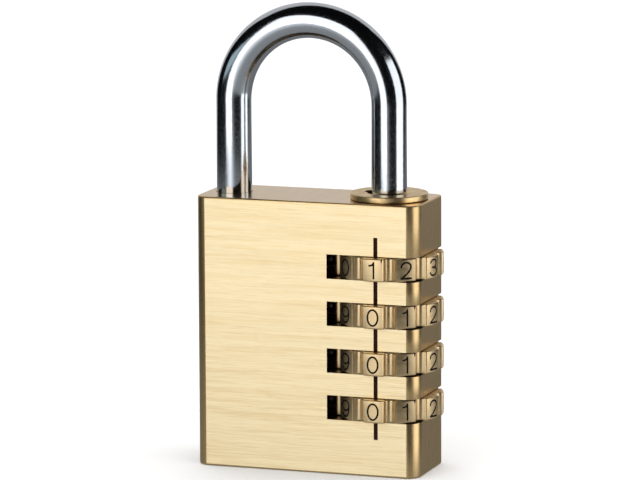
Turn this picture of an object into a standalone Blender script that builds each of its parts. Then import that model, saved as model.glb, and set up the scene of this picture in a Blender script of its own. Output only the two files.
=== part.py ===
"""Four-dial combination padlock, modelled as the separate pieces it is assembled from.

Frame: origin at the centre of the body's base face, +Z up the shackle, -Y the numbered front.
Units are metres. The padlock is shown locked down with its opening code set, so every sleeve's
gate faces the row of fins on the shackle's long leg.
"""

import math

import bmesh
import bpy
from mathutils import Matrix, Vector

MM = 0.001

# Body: a solid brass block.
BODY_WIDTH = 40.0 * MM
BODY_DEPTH = 15.2 * MM
BODY_HEIGHT = 46.8 * MM
BODY_CORNER_RADIUS = 1.9 * MM
BODY_EDGE_CHAMFER = 0.2 * MM

# Shackle: a round bar bent to a half circle. The long leg's axis is also the dials' axis.
BAR_RADIUS = 3.05 * MM
LONG_LEG_X = 12.65 * MM
TOE_LEG_X = -15.35 * MM
BOW_CENTRE_Z = 62.8 * MM
LONG_LEG_END_Z = 4.2 * MM
TOE_DEPTH = 6.6 * MM
TOE_END_GAP = 1.2 * MM
BAR_END_ROUNDING = 0.7 * MM
BAR_HOLE_RADIUS = BAR_RADIUS + 0.25 * MM
BAR_SIDES = 24
BOW_STEPS = 20

# Dials: four number wheels on one pitch, dial 1 at the top.
DIAL_COUNT = 4
DIAL_PITCH = 8.1 * MM
DIAL_1_Z = 35.85 * MM
DIAL_RADIUS = 9.25 * MM
DIAL_HEIGHT = 3.94 * MM
DIAL_EDGE_ROUNDING = 0.28 * MM
POSITIONS = 10
PAD_WIDTH = 3.6 * MM
VALLEY_DEPTH = 0.55 * MM
SLOT_HEIGHT = 4.2 * MM
SLOT_LEFT_X = 3.92 * MM

# Keying between a dial and its sleeve: splines in a notched band at the foot of the dial.
SPLINE_COUNT = 5
SPLINE_WIDTH = 1.4 * MM
SPLINE_RADIUS = 5.95 * MM
SPLINE_CLEARANCE = 0.2 * MM
DIAL_BORE_RADIUS = 5.4 * MM
KEY_BAND_HEIGHT = 1.0 * MM

# Sleeves: tubes with a gate plate that the fins can pass only through its notch.
SLEEVE_RADIUS = 5.2 * MM
SLEEVE_RECESS_RADIUS = 4.55 * MM
SLEEVE_TOP = 2.9 * MM  # above the dial's mid-plane
SLEEVE_BOTTOM = -5.0 * MM
GATE_PLATE_THICKNESS = 1.8 * MM
GATE_WIDTH = 2.7 * MM
GATE_RADIUS = 4.45 * MM

# Fins on the long leg, facing +X.
FIN_RADIUS = 4.2 * MM
FIN_WIDTH = 2.2 * MM
FIN_HEIGHT = 2.2 * MM
FIN_TOP = -0.4 * MM  # above the dial's mid-plane

# Long bore through the body, its upper chamber and the seat of the collar.
BORE_RADIUS = SPLINE_RADIUS + SPLINE_CLEARANCE
BORE_TOP_Z = DIAL_1_Z + SLEEVE_TOP + 0.15 * MM
CHAMBER_RADIUS = 4.75 * MM
COLLAR_SEAT_Z = 43.9 * MM
COLLAR_SEAT_RADIUS = 5.6 * MM

# Collar round the long leg.
COLLAR_FLANGE_RADIUS = 6.65 * MM
COLLAR_FLANGE_TOP_Z = BODY_HEIGHT + 0.9 * MM
COLLAR_FLANGE_GAP = 0.1 * MM
COLLAR_COUNTERSINK = 0.55 * MM
KEYHOLE_RADIUS = 4.35 * MM
KEYHOLE_WIDTH = 2.7 * MM

# Foot of the long bore: plug, return spring and thrust washer.
PRESS_GAP = 0.15 * MM
PLUG_BOTTOM_Z = 0.1 * MM
PLUG_TOP_Z = 2.6 * MM
PLUG_CHAMFER = 0.4 * MM
WASHER_THICKNESS = 0.8 * MM
WASHER_BORE_RADIUS = 3.5 * MM
WASHER_GAP = 0.2 * MM
RETURN_SPRING_RADIUS = 4.85 * MM
RETURN_SPRING_WIRE = 0.32 * MM
RETURN_SPRING_TURNS = 2.5

# Detents: one spring plunger behind each dial, facing +X.
PLUNGER_RADIUS = 1.1 * MM
PLUNGER_LENGTH = 5.6 * MM
PLUNGER_NOSE_GAP = 0.2 * MM
DETENT_BORE_RADIUS = 1.25 * MM
DETENT_BORE_END_X = -6.2 * MM
DETENT_SPRING_WIRE = 0.18 * MM
DETENT_SPRING_TURNS = 4

# Index line down the front face.
INDEX_WIDTH = 0.65 * MM
INDEX_DEPTH = 0.25 * MM
INDEX_BOTTOM_Z = 6.4 * MM
INDEX_TOP_Z = 41.2 * MM

OVERSHOOT = 1.0 * MM  # how far a cutter runs past the face it opens
ROUND_STEPS = 48
SLOT_STEPS = 72
SMALL_STEPS = 20
ALONG_X = (0, math.radians(90), 0)  # lays a shape made along Z on the X axis

MATERIALS = {
    "brushed_brass": ((0.80, 0.66, 0.38), 0.34, 1.0),
    "dial_brass": ((0.74, 0.58, 0.32), 0.30, 1.0),
    "collar_brass": ((0.62, 0.50, 0.30), 0.36, 1.0),
    "chrome_steel": ((0.80, 0.81, 0.83), 0.10, 1.0),
    "inner_brass": ((0.70, 0.55, 0.30), 0.45, 1.0),
    "spring_steel": ((0.50, 0.50, 0.52), 0.35, 1.0),
}


def clear_scene():
    for obj in list(bpy.data.objects):
        bpy.data.objects.remove(obj)


def material(name):
    found = bpy.data.materials.get(name)
    if found:
        return found
    colour, roughness, metallic = MATERIALS[name]
    made = bpy.data.materials.new(name)
    made.use_nodes = True
    shader = made.node_tree.nodes["Principled BSDF"]
    shader.inputs["Base Color"].default_value = (*colour, 1.0)
    shader.inputs["Roughness"].default_value = roughness
    shader.inputs["Metallic"].default_value = metallic
    return made


def place(name, data, parent=None, location=(0, 0, 0), rotation=(0, 0, 0)):
    obj = bpy.data.objects.new(name, data)
    bpy.context.scene.collection.objects.link(obj)
    obj.parent = parent
    obj.location = location
    obj.rotation_euler = rotation
    return obj


def helper(name, data, parent=None, location=(0, 0, 0), rotation=(0, 0, 0)):
    """A cutter or a block to join on: it shapes a part and is not one."""
    obj = place(name, data, parent, location, rotation)
    obj.hide_render = True
    obj.display_type = "WIRE"
    return obj


def boolean(obj, other, operation="DIFFERENCE"):
    modifier = obj.modifiers.new(other.name, "BOOLEAN")
    modifier.operation = operation
    modifier.solver = "EXACT"
    modifier.object = other


def cut_all(obj, cutters):
    """One Boolean for a set of cutters that run into each other."""
    group = bpy.data.collections.new(f"{obj.name}_cutters")
    bpy.context.scene.collection.children.link(group)
    for cutter in cutters:
        group.objects.link(cutter)
    modifier = obj.modifiers.new(group.name, "BOOLEAN")
    modifier.operation = "DIFFERENCE"
    modifier.solver = "EXACT"
    modifier.operand_type = "COLLECTION"
    modifier.collection = group


def to_mesh(bm, name, material_name=None):
    bmesh.ops.recalc_face_normals(bm, faces=bm.faces)
    mesh = bpy.data.meshes.new(name)
    bm.to_mesh(mesh)
    bm.free()
    if material_name:
        mesh.materials.append(material(material_name))
    mesh.shade_smooth()
    mesh.set_sharp_from_angle(angle=math.radians(32))
    return mesh


def turned(name, profile, steps=ROUND_STEPS, material_name=None):
    """A (radius, height) profile spun round Z: a closed loop, or a run that starts and ends on Z."""
    bm = bmesh.new()
    points = [bm.verts.new((radius, 0, height)) for radius, height in profile]
    edges = [bm.edges.new(pair) for pair in zip(points, points[1:])]
    if profile[0][0] > 0:
        edges.append(bm.edges.new((points[-1], points[0])))
    bmesh.ops.spin(
        bm, geom=points + edges, cent=(0, 0, 0), axis=(0, 0, 1),
        angle=math.tau, steps=steps, use_merge=True,
    )
    bmesh.ops.remove_doubles(bm, verts=bm.verts, dist=1e-7)
    return to_mesh(bm, name, material_name)


def tube_profile(inner, outer, bottom, top):
    return [(inner, bottom), (outer, bottom), (outer, top), (inner, top)]


def cylinder(name, radius, bottom, top, steps=ROUND_STEPS):
    return turned(name, tube_profile(0, radius, bottom, top), steps)


def add_block(bm, low, high):
    """An upright box between two corners, added to the mesh being built."""
    size = Vector(high) - Vector(low)
    centre = (Vector(high) + Vector(low)) / 2
    matrix = Matrix.Translation(centre) @ Matrix.Diagonal((*size, 1))
    return bmesh.ops.create_cube(bm, size=1, matrix=matrix)["verts"]


def block(name, low, high):
    bm = bmesh.new()
    add_block(bm, low, high)
    return to_mesh(bm, name)


def prism(name, outline, bottom, top):
    bm = bmesh.new()
    foot = bm.faces.new([bm.verts.new((x, y, bottom)) for x, y in outline])
    grown = bmesh.ops.extrude_face_region(bm, geom=[foot])["geom"]
    verts = [item for item in grown if isinstance(item, bmesh.types.BMVert)]
    bmesh.ops.translate(bm, verts=verts, vec=(0, 0, top - bottom))
    return bm


def polar(radius, angle):
    return radius * math.cos(angle), radius * math.sin(angle)


def dial_z(index):
    return DIAL_1_Z - index * DIAL_PITCH


# ---------------------------------------------------------------- body


def body_mesh():
    bm = bmesh.new()
    half_width, half_depth = BODY_WIDTH / 2, BODY_DEPTH / 2
    add_block(bm, (-half_width, -half_depth, 0), (half_width, half_depth, BODY_HEIGHT))
    upright = [e for e in bm.edges if abs(e.verts[0].co.z - e.verts[1].co.z) > BODY_HEIGHT / 2]
    bmesh.ops.bevel(
        bm, geom=upright, offset=BODY_CORNER_RADIUS, offset_type="OFFSET",
        segments=6, profile=0.5, affect="EDGES",
    )
    rims = [e for e in bm.edges if abs(e.verts[0].co.z - e.verts[1].co.z) < 1e-6]
    bmesh.ops.bevel(
        bm, geom=rims, offset=BODY_EDGE_CHAMFER, offset_type="OFFSET",
        segments=1, affect="EDGES",
    )
    return to_mesh(bm, "lock_body", "brushed_brass")


def bore_profile():
    """The stepped bore: sleeves below, fin chamber, then the collar's seat, open at both ends."""
    top = BODY_HEIGHT + OVERSHOOT
    return [
        (0, -OVERSHOOT),
        (BORE_RADIUS, -OVERSHOOT),
        (BORE_RADIUS, BORE_TOP_Z),
        (CHAMBER_RADIUS, BORE_TOP_Z),
        (CHAMBER_RADIUS, COLLAR_SEAT_Z),
        (COLLAR_SEAT_RADIUS, COLLAR_SEAT_Z),
        (COLLAR_SEAT_RADIUS, top),
        (0, top),
    ]


def body_cutters(padlock, dial_axis):
    half_depth = BODY_DEPTH / 2
    slot_radius = math.hypot(LONG_LEG_X - SLOT_LEFT_X, half_depth)
    bore_length = LONG_LEG_X - slot_radius - DETENT_BORE_END_X + OVERSHOOT
    bore = turned("cut_bore", bore_profile())
    slot = cylinder("cut_slot", slot_radius, -SLOT_HEIGHT / 2, SLOT_HEIGHT / 2, SLOT_STEPS)
    detent_bore = cylinder("cut_detent_bore", DETENT_BORE_RADIUS, 0, bore_length, SMALL_STEPS)
    toe_hole = cylinder(
        "cut_toe_hole", BAR_HOLE_RADIUS, BODY_HEIGHT - TOE_DEPTH - TOE_END_GAP, BODY_HEIGHT + OVERSHOOT
    )
    groove = block(
        "cut_index_line",
        (-INDEX_WIDTH / 2, -half_depth - OVERSHOOT, INDEX_BOTTOM_Z),
        (INDEX_WIDTH / 2, -half_depth + INDEX_DEPTH, INDEX_TOP_Z),
    )
    yield helper("cut_bore", bore, dial_axis)
    yield helper("cut_toe_hole", toe_hole, padlock, (TOE_LEG_X, 0, 0))
    yield helper("cut_index_line", groove, dial_axis)
    for index in range(DIAL_COUNT):
        number, z = index + 1, dial_z(index)
        yield helper(f"cut_slot_{number}", slot, dial_axis, (0, 0, z))
        at_bore = (DETENT_BORE_END_X, 0, z)
        yield helper(f"cut_detent_bore_{number}", detent_bore, padlock, at_bore, ALONG_X)


def make_body(padlock, dial_axis):
    body = place("lock_body", body_mesh(), padlock)
    cut_all(body, body_cutters(padlock, dial_axis))


# ---------------------------------------------------------------- shackle and collar


def bar_rings():
    """(x, z, tilt, radius) of each ring along the bent bar, with the long leg's axis at x = 0."""
    bow_radius = (LONG_LEG_X - TOE_LEG_X) / 2
    toe_z = BODY_HEIGHT - TOE_DEPTH
    rounding = [math.radians(angle) for angle in (90, 45, 0)]
    for angle in rounding:
        rise = BAR_END_ROUNDING * (1 - math.sin(angle))
        radius = BAR_RADIUS - BAR_END_ROUNDING * (1 - math.cos(angle))
        yield -2 * bow_radius, toe_z + rise, 0, radius
    for step in range(BOW_STEPS + 1):
        turn = math.pi * step / BOW_STEPS
        x = -bow_radius - bow_radius * math.cos(turn)
        yield x, BOW_CENTRE_Z + bow_radius * math.sin(turn), turn, BAR_RADIUS
    for angle in reversed(rounding):
        rise = BAR_END_ROUNDING * (1 - math.sin(angle))
        radius = BAR_RADIUS - BAR_END_ROUNDING * (1 - math.cos(angle))
        yield 0, LONG_LEG_END_Z + rise, math.pi, radius


def bar_mesh():
    bm = bmesh.new()
    loops = []
    for x, z, tilt, radius in bar_rings():
        at_ring = Matrix.Translation((x, 0, z)) @ Matrix.Rotation(tilt, 4, "Y")
        ring = bmesh.ops.create_circle(bm, segments=BAR_SIDES, radius=radius, matrix=at_ring)["verts"]
        loops.append(([edge for edge in bm.edges if edge.verts[0] in ring], ring))
    for (lower, _), (upper, _) in zip(loops, loops[1:]):
        bmesh.ops.bridge_loops(bm, edges=lower + upper)
    for _, ring in (loops[0], loops[-1]):
        bm.faces.new(ring)
    return to_mesh(bm, "shackle", "chrome_steel")


def fin_mesh():
    half = FIN_WIDTH / 2
    inside_bar = BAR_RADIUS - 1.0 * MM
    return block("join_fin", (inside_bar, -half, FIN_TOP - FIN_HEIGHT), (FIN_RADIUS, half, FIN_TOP))


def make_shackle(dial_axis):
    shackle = place("shackle", bar_mesh(), dial_axis)
    fin = fin_mesh()
    for index in range(DIAL_COUNT):
        at_dial = (0, 0, dial_z(index))
        boolean(shackle, helper(f"join_fin_{index + 1}", fin, dial_axis, at_dial), "UNION")


def make_collar(dial_axis):
    stem_radius = COLLAR_SEAT_RADIUS - PRESS_GAP
    flange_bottom = BODY_HEIGHT + COLLAR_FLANGE_GAP
    profile = [
        (BAR_HOLE_RADIUS, COLLAR_SEAT_Z + PRESS_GAP),
        (stem_radius, COLLAR_SEAT_Z + PRESS_GAP),
        (stem_radius, flange_bottom),
        (COLLAR_FLANGE_RADIUS, flange_bottom),
        (COLLAR_FLANGE_RADIUS, COLLAR_FLANGE_TOP_Z - 0.15 * MM),
        (COLLAR_FLANGE_RADIUS - 0.15 * MM, COLLAR_FLANGE_TOP_Z),
        (BAR_HOLE_RADIUS + COLLAR_COUNTERSINK, COLLAR_FLANGE_TOP_Z),
        (BAR_HOLE_RADIUS, COLLAR_FLANGE_TOP_Z - COLLAR_COUNTERSINK),
    ]
    mesh = turned("shackle_collar", profile, material_name="collar_brass")
    collar = place("shackle_collar", mesh, dial_axis)
    half = KEYHOLE_WIDTH / 2
    keyhole = block(
        "cut_keyhole",
        (-KEYHOLE_RADIUS, -half, COLLAR_SEAT_Z - OVERSHOOT),
        (0, half, COLLAR_FLANGE_TOP_Z + OVERSHOOT),
    )
    boolean(collar, helper("cut_keyhole", keyhole, dial_axis))


# ---------------------------------------------------------------- dials


def dial_outline(inset=0.0):
    """Ten pads on the dial's circle with a round-bottomed valley between each two."""
    half_pad = math.asin(PAD_WIDTH / 2 / DIAL_RADIUS)
    half_valley = math.pi / POSITIONS - half_pad
    half_chord = DIAL_RADIUS * math.sin(half_valley)
    rise = DIAL_RADIUS * math.cos(half_valley) - (DIAL_RADIUS - VALLEY_DEPTH)
    scallop = (half_chord**2 + rise**2) / (2 * rise)
    centre = DIAL_RADIUS - VALLEY_DEPTH + scallop
    sweep = math.asin(half_chord / scallop)
    shrink = (DIAL_RADIUS - inset) / DIAL_RADIUS
    points = []
    for position in range(POSITIONS):
        middle = -math.pi / 2 + math.tau * position / POSITIONS
        for step in range(4):
            x, y = polar(DIAL_RADIUS, middle + half_pad * (2 * step / 3 - 1))
            points.append((x * shrink, y * shrink))
        valley = middle + math.pi / POSITIONS
        for step in range(1, 5):
            turn = valley + math.pi + sweep * (1 - 2 * step / 5)
            x = centre * math.cos(valley) + scallop * math.cos(turn)
            y = centre * math.sin(valley) + scallop * math.sin(turn)
            points.append((x * shrink, y * shrink))
    return points


def dial_mesh():
    half, rounding = DIAL_HEIGHT / 2, DIAL_EDGE_ROUNDING
    levels = [(-half, rounding), (-half + rounding, 0), (half - rounding, 0), (half, rounding)]
    bm = bmesh.new()
    rings = []
    for z, inset in levels:
        verts = [bm.verts.new((x, y, z)) for x, y in dial_outline(inset)]
        edges = [bm.edges.new((a, b)) for a, b in zip(verts, verts[1:] + verts[:1])]
        rings.append((verts, edges))
    for (_, lower), (_, upper) in zip(rings, rings[1:]):
        bmesh.ops.bridge_loops(bm, edges=lower + upper)
    bm.faces.new(rings[0][0])
    bm.faces.new(rings[-1][0])
    return to_mesh(bm, "dial", "dial_brass")


def key_band_outline():
    """The dial's bore with one notch for each position."""
    notch_radius = SPLINE_RADIUS + SPLINE_CLEARANCE
    half_notch = SPLINE_WIDTH / 2 + SPLINE_CLEARANCE * 0.75
    points = []
    for position in range(POSITIONS):
        middle = math.tau * position / POSITIONS
        inner = math.asin(half_notch / DIAL_BORE_RADIUS)
        outer = math.asin(half_notch / notch_radius)
        points.append(polar(DIAL_BORE_RADIUS, middle - inner))
        points.append(polar(notch_radius, middle - outer))
        points.append(polar(notch_radius, middle + outer))
        points.append(polar(DIAL_BORE_RADIUS, middle + inner))
        points.append(polar(DIAL_BORE_RADIUS, middle + math.pi / POSITIONS))
    return points


def make_dials(dial_axis):
    half = DIAL_HEIGHT / 2
    band_top = -half + KEY_BAND_HEIGHT
    dial = dial_mesh()
    recess_radius = SPLINE_RADIUS + 1.5 * SPLINE_CLEARANCE
    recess = cylinder("cut_dial_recess", recess_radius, band_top, half + OVERSHOOT)
    keys = to_mesh(
        prism("cut_dial_keys", key_band_outline(), -half - OVERSHOOT, band_top + OVERSHOOT),
        "cut_dial_keys",
    )
    for index in range(DIAL_COUNT):
        number, at_dial = index + 1, (0, 0, dial_z(index))
        wheel = place(f"dial_{number}", dial, dial_axis, at_dial)
        boolean(wheel, helper(f"cut_dial_recess_{number}", recess, dial_axis, at_dial))
        boolean(wheel, helper(f"cut_dial_keys_{number}", keys, dial_axis, at_dial))


# ---------------------------------------------------------------- sleeves


def spline_mesh():
    """Five splines, from the sleeve's foot up into the dial's key band."""
    bm = bmesh.new()
    half = SPLINE_WIDTH / 2
    top = -DIAL_HEIGHT / 2 + KEY_BAND_HEIGHT - 0.08 * MM
    inside_wall = (SLEEVE_RADIUS + SLEEVE_RECESS_RADIUS) / 2
    for turn in range(SPLINE_COUNT):
        low = (inside_wall, -half, SLEEVE_BOTTOM + 0.4 * MM)
        verts = add_block(bm, low, (SPLINE_RADIUS, half, top))
        rotation = Matrix.Rotation(math.tau * turn / SPLINE_COUNT, 3, "Z")
        bmesh.ops.rotate(bm, verts=verts, cent=(0, 0, 0), matrix=rotation)
    return to_mesh(bm, "join_splines")


def make_sleeves(dial_axis):
    plate_bottom = SLEEVE_TOP - GATE_PLATE_THICKNESS
    profile = [
        (SLEEVE_RECESS_RADIUS, SLEEVE_BOTTOM),
        (SLEEVE_RADIUS, SLEEVE_BOTTOM),
        (SLEEVE_RADIUS, SLEEVE_TOP),
        (BAR_HOLE_RADIUS, SLEEVE_TOP),
        (BAR_HOLE_RADIUS, plate_bottom),
        (SLEEVE_RECESS_RADIUS, plate_bottom),
    ]
    sleeve = turned("sleeve", profile, material_name="inner_brass")
    splines = spline_mesh()
    half = GATE_WIDTH / 2
    gate = block(
        "cut_gate",
        (0, -half, plate_bottom - OVERSHOOT),
        (GATE_RADIUS, half, SLEEVE_TOP + OVERSHOOT),
    )
    for index in range(DIAL_COUNT):
        number, at_dial = index + 1, (0, 0, dial_z(index))
        tube = place(f"sleeve_{number}", sleeve, dial_axis, at_dial)
        boolean(tube, helper(f"join_splines_{number}", splines, dial_axis, at_dial), "UNION")
        boolean(tube, helper(f"cut_gate_{number}", gate, dial_axis, at_dial))


# ---------------------------------------------------------------- springs, washer and plug


def coil(name, radius, wire, bottom, top, turns, steps_per_turn, sides):
    """A compression spring round Z, its end turns standing clear of both seats."""
    curve = bpy.data.curves.new(name, "CURVE")
    curve.dimensions = "3D"
    curve.bevel_depth = wire
    curve.bevel_resolution = sides
    curve.use_fill_caps = True
    count = int(turns * steps_per_turn) + 1
    spline = curve.splines.new("POLY")
    spline.points.add(count - 1)
    first, last = bottom + wire, top - wire
    for step in range(count):
        share = step / (count - 1)
        x, y = polar(radius, math.tau * turns * share)
        spline.points[step].co = (x, y, first + (last - first) * share, 1)
    curve.materials.append(material("spring_steel"))
    return curve


def make_foot(dial_axis):
    washer_top = dial_z(DIAL_COUNT - 1) + SLEEVE_BOTTOM - WASHER_GAP
    washer_bottom = washer_top - WASHER_THICKNESS
    washer = turned(
        "thrust_washer",
        tube_profile(WASHER_BORE_RADIUS, SPLINE_RADIUS, washer_bottom, washer_top),
        material_name="spring_steel",
    )
    place("thrust_washer", washer, dial_axis)

    spring = coil(
        "sleeve_return_spring", RETURN_SPRING_RADIUS, RETURN_SPRING_WIRE,
        PLUG_TOP_Z + WASHER_GAP, washer_bottom - WASHER_GAP,
        RETURN_SPRING_TURNS, steps_per_turn=18, sides=1,
    )
    place("sleeve_return_spring", spring, dial_axis)

    plug_radius = BORE_RADIUS - PRESS_GAP
    plug = turned(
        "base_plug",
        [
            (0, PLUG_BOTTOM_Z),
            (plug_radius, PLUG_BOTTOM_Z),
            (plug_radius, PLUG_TOP_Z - PLUG_CHAMFER),
            (plug_radius - PLUG_CHAMFER, PLUG_TOP_Z),
            (0, PLUG_TOP_Z),
        ],
        material_name="brushed_brass",
    )
    place("base_plug", plug, dial_axis)


# ---------------------------------------------------------------- detents


def plunger_profile():
    """A pin along +Z with its round nose at z = 0, its back rim chamfered."""
    quarter = [math.radians(angle) for angle in (0, 30, 60)]
    nose = [
        (PLUNGER_RADIUS * math.cos(angle), PLUNGER_RADIUS * (math.sin(angle) - 1))
        for angle in quarter
    ]
    chamfer = 0.2 * MM
    return [
        (0, -PLUNGER_LENGTH),
        (PLUNGER_RADIUS - chamfer, -PLUNGER_LENGTH),
        (PLUNGER_RADIUS, -PLUNGER_LENGTH + chamfer),
        *nose,
        (0, 0),
    ]


def make_detents(padlock):
    nose_x = LONG_LEG_X - DIAL_RADIUS - PLUNGER_NOSE_GAP
    plunger = turned("detent_plunger", plunger_profile(), SMALL_STEPS, "spring_steel")
    spring = coil(
        "detent_spring", PLUNGER_RADIUS - DETENT_SPRING_WIRE, DETENT_SPRING_WIRE,
        0.2 * MM, nose_x - PLUNGER_LENGTH - DETENT_BORE_END_X - 0.2 * MM,
        DETENT_SPRING_TURNS, steps_per_turn=10, sides=0,
    )
    for index in range(DIAL_COUNT):
        number, z = index + 1, dial_z(index)
        place(f"detent_plunger_{number}", plunger, padlock, (nose_x, 0, z), ALONG_X)
        place(f"detent_spring_{number}", spring, padlock, (DETENT_BORE_END_X, 0, z), ALONG_X)


def main():
    clear_scene()
    padlock = place("padlock", None)
    dial_axis = place("dial_axis", None, padlock, (LONG_LEG_X, 0, 0))
    make_body(padlock, dial_axis)
    make_shackle(dial_axis)
    make_collar(dial_axis)
    make_dials(dial_axis)
    make_sleeves(dial_axis)
    make_foot(dial_axis)
    make_detents(padlock)


main()
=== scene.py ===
"""The looks of the four-dial combination padlock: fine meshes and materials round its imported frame.

Places and driving sizes come from the frame. Lengths are in metres, +Z up the shackle's legs,
-Y the numbered front. The dials turn on the axis of the shackle's long leg.
"""

import math

import bmesh
import bpy
from mathutils import Matrix, Quaternion, Vector


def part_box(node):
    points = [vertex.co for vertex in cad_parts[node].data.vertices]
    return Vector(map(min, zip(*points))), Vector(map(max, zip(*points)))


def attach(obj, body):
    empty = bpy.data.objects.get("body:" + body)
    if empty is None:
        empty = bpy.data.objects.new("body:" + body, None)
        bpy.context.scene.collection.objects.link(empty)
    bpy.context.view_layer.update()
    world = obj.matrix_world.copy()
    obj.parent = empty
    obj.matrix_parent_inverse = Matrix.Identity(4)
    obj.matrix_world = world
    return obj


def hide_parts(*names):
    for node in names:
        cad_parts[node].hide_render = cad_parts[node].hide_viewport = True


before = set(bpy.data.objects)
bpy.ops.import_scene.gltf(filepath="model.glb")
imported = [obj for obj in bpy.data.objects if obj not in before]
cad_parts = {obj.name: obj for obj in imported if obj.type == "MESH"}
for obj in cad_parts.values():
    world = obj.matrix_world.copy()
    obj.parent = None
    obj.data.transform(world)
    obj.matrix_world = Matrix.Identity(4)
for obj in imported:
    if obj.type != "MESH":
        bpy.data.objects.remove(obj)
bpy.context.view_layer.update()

MM = 0.001
NUMBERS = (1, 2, 3, 4)

# Body, from its own box.
BODY_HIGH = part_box("lock_body")[1]
HALF_WIDTH, HALF_DEPTH, BODY_HEIGHT = BODY_HIGH
CORNER_RADIUS = 2.5 * MM
REAR_CORNER_RADIUS = 1.8 * MM
CORNER_CUT = math.radians(13)  # how far short of square to the milled front the round edge stops
CORNER_STEPS = 20
EDGE_BREAK = 0.3 * MM
EDGE_BREAK_STEPS = 4
SLOT_EDGE_BREAK = 0.05 * MM
SLOT_EDGE_ANGLE = math.radians(60)  # edges sharper than this are broken

# Dials, from their boxes.
DIAL_BOXES = {number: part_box(f"dial_{number}") for number in NUMBERS}
DIAL_LOW, DIAL_HIGH = DIAL_BOXES[1]
AXIS_X = (DIAL_LOW.x + DIAL_HIGH.x) / 2
DIAL_RADIUS = max(math.hypot(v.co.x - AXIS_X, v.co.y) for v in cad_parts["dial_1"].data.vertices)
DIAL_HEIGHT = DIAL_HIGH.z - DIAL_LOW.z
DIAL_Z = {number: (low.z + high.z) / 2 for number, (low, high) in DIAL_BOXES.items()}
POSITIONS = 10
PAD_WIDTH = 3.6 * MM
GROOVE_RADIUS = 0.95 * MM
GROOVE_WALL = math.radians(57)
CUSP_ROUNDING = 0.10 * MM
DIAL_EDGE_ROUNDING = 0.28 * MM
DIAL_RECESS_RADIUS = 6.25 * MM
DIAL_BORE_RADIUS = 5.4 * MM
KEY_NOTCH_RADIUS = 6.15 * MM
KEY_NOTCH_HALF_WIDTH = 0.85 * MM
KEY_BAND_HEIGHT = 1.0 * MM
SHOWN_DIGIT = {1: 1, 2: 0, 3: 0, 4: 0}

# Digits engraved on the pads.
DIGIT_WIDTH = 2.2 * MM
DIGIT_HEIGHT = 3.1 * MM
STROKE_WIDTH = 0.38 * MM
STROKE_FLOOR_WIDTH = 0.26 * MM
ENGRAVING_DEPTH = 0.13 * MM
NICK_ANGLE = math.radians(9.6)
NICK_RADIUS = 0.17 * MM
NICK_TIP_RADIUS = 0.02 * MM
NICK_HEIGHT = 0.64 * MM
NICK_INSET = 0.02 * MM

# Slots, bores and the painted index line in the body.
SLOT_HEIGHT = 4.2 * MM
SLOT_LEFT_X = 3.92 * MM
SLOT_RADIUS = math.hypot(AXIS_X - SLOT_LEFT_X, HALF_DEPTH)
BORE_RADIUS = 6.15 * MM
BORE_TOP_Z = DIAL_Z[1] + 3.05 * MM
CHAMBER_RADIUS = 4.75 * MM
COLLAR_SEAT_RADIUS = 5.6 * MM
DETENT_BORE_RADIUS = 1.25 * MM
DETENT_BORE_END_X = -6.2 * MM
INDEX_WIDTH = 0.72 * MM
INDEX_DEPTH = 0.25 * MM
INDEX_BOTTOM_Z = 6.4 * MM
INDEX_TOP_Z = 41.2 * MM

# Shackle, from its box.
SHACKLE_LOW, SHACKLE_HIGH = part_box("shackle")
BAR_RADIUS = (SHACKLE_HIGH.y - SHACKLE_LOW.y) / 2
TOE_X = SHACKLE_LOW.x + BAR_RADIUS
BOW_RADIUS = (AXIS_X - TOE_X) / 2
BOW_Z = SHACKLE_HIGH.z - BOW_RADIUS - BAR_RADIUS
LONG_END_Z = SHACKLE_LOW.z
FIN_REACH = SHACKLE_HIGH.x - AXIS_X
TOE_END_Z = BODY_HEIGHT - 6.6 * MM
TOE_HOLE_FLOOR_Z = TOE_END_Z - 1.2 * MM
BAR_HOLE_RADIUS = BAR_RADIUS + 0.25 * MM
TOE_HOLE_RADIUS = BAR_RADIUS + 0.06 * MM
TOE_HOLE_RIM = 0.05 * MM
BAR_END_ROUNDING = 0.7 * MM
BAR_END_STEPS = 6
BAR_SIDES = 72
BOW_STEPS = 72
FIN_WIDTH = 2.2 * MM
FIN_HEIGHT = 2.2 * MM
FIN_TOP = -0.4 * MM  # from the middle of its dial
FIN_ROOT = 0.4 * MM
FIN_ROUNDING = 0.15 * MM

# Collar, from its box.
COLLAR_LOW, COLLAR_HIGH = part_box("shackle_collar")
FLANGE_RADIUS = (COLLAR_HIGH.y - COLLAR_LOW.y) / 2
FLANGE_BOTTOM_Z = BODY_HEIGHT + 0.1 * MM
FLANGE_TOP_Z = COLLAR_HIGH.z + 0.2 * MM
COLLAR_STEM_RADIUS = COLLAR_SEAT_RADIUS - 0.15 * MM
COLLAR_SEAT_Z = COLLAR_LOW.z - 0.15 * MM
COLLAR_RIM = 0.2 * MM
COUNTERSINK = 0.55 * MM
COUNTERSINK_LIP = 0.05 * MM
COUNTERSINK_SHOULDER = 0.85  # where the lip starts, as a share of the countersink's width
KEYHOLE_RADIUS = 4.35 * MM
KEYHOLE_WIDTH = 2.7 * MM
KEYHOLE_STEPS = 18

PAST = 1.0 * MM  # how far a cutter runs past the face it opens
CLOSE = 0.005 * MM  # how near counts as on a face
SQUARE_ON = 0.999  # how square to an axis a face of the block counts as flat
SMOOTH_ANGLE = math.radians(32)
MERGE_DISTANCE = 1e-7
ROUND_STEPS = 96
SLOT_STEPS = 200
SMALL_STEPS = 40


# ---------------------------------------------------------------- materials


def add(tree, kind, inputs=None, **settings):
    """A node with its settings made and its inputs set, or linked where the value is a socket."""
    node = tree.nodes.new(kind)
    for key, value in settings.items():
        setattr(node, key, value)
    for key, value in (inputs or {}).items():
        if isinstance(value, bpy.types.NodeSocket):
            tree.links.new(value, node.inputs[key])
        else:
            node.inputs[key].default_value = value
    return node


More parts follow.
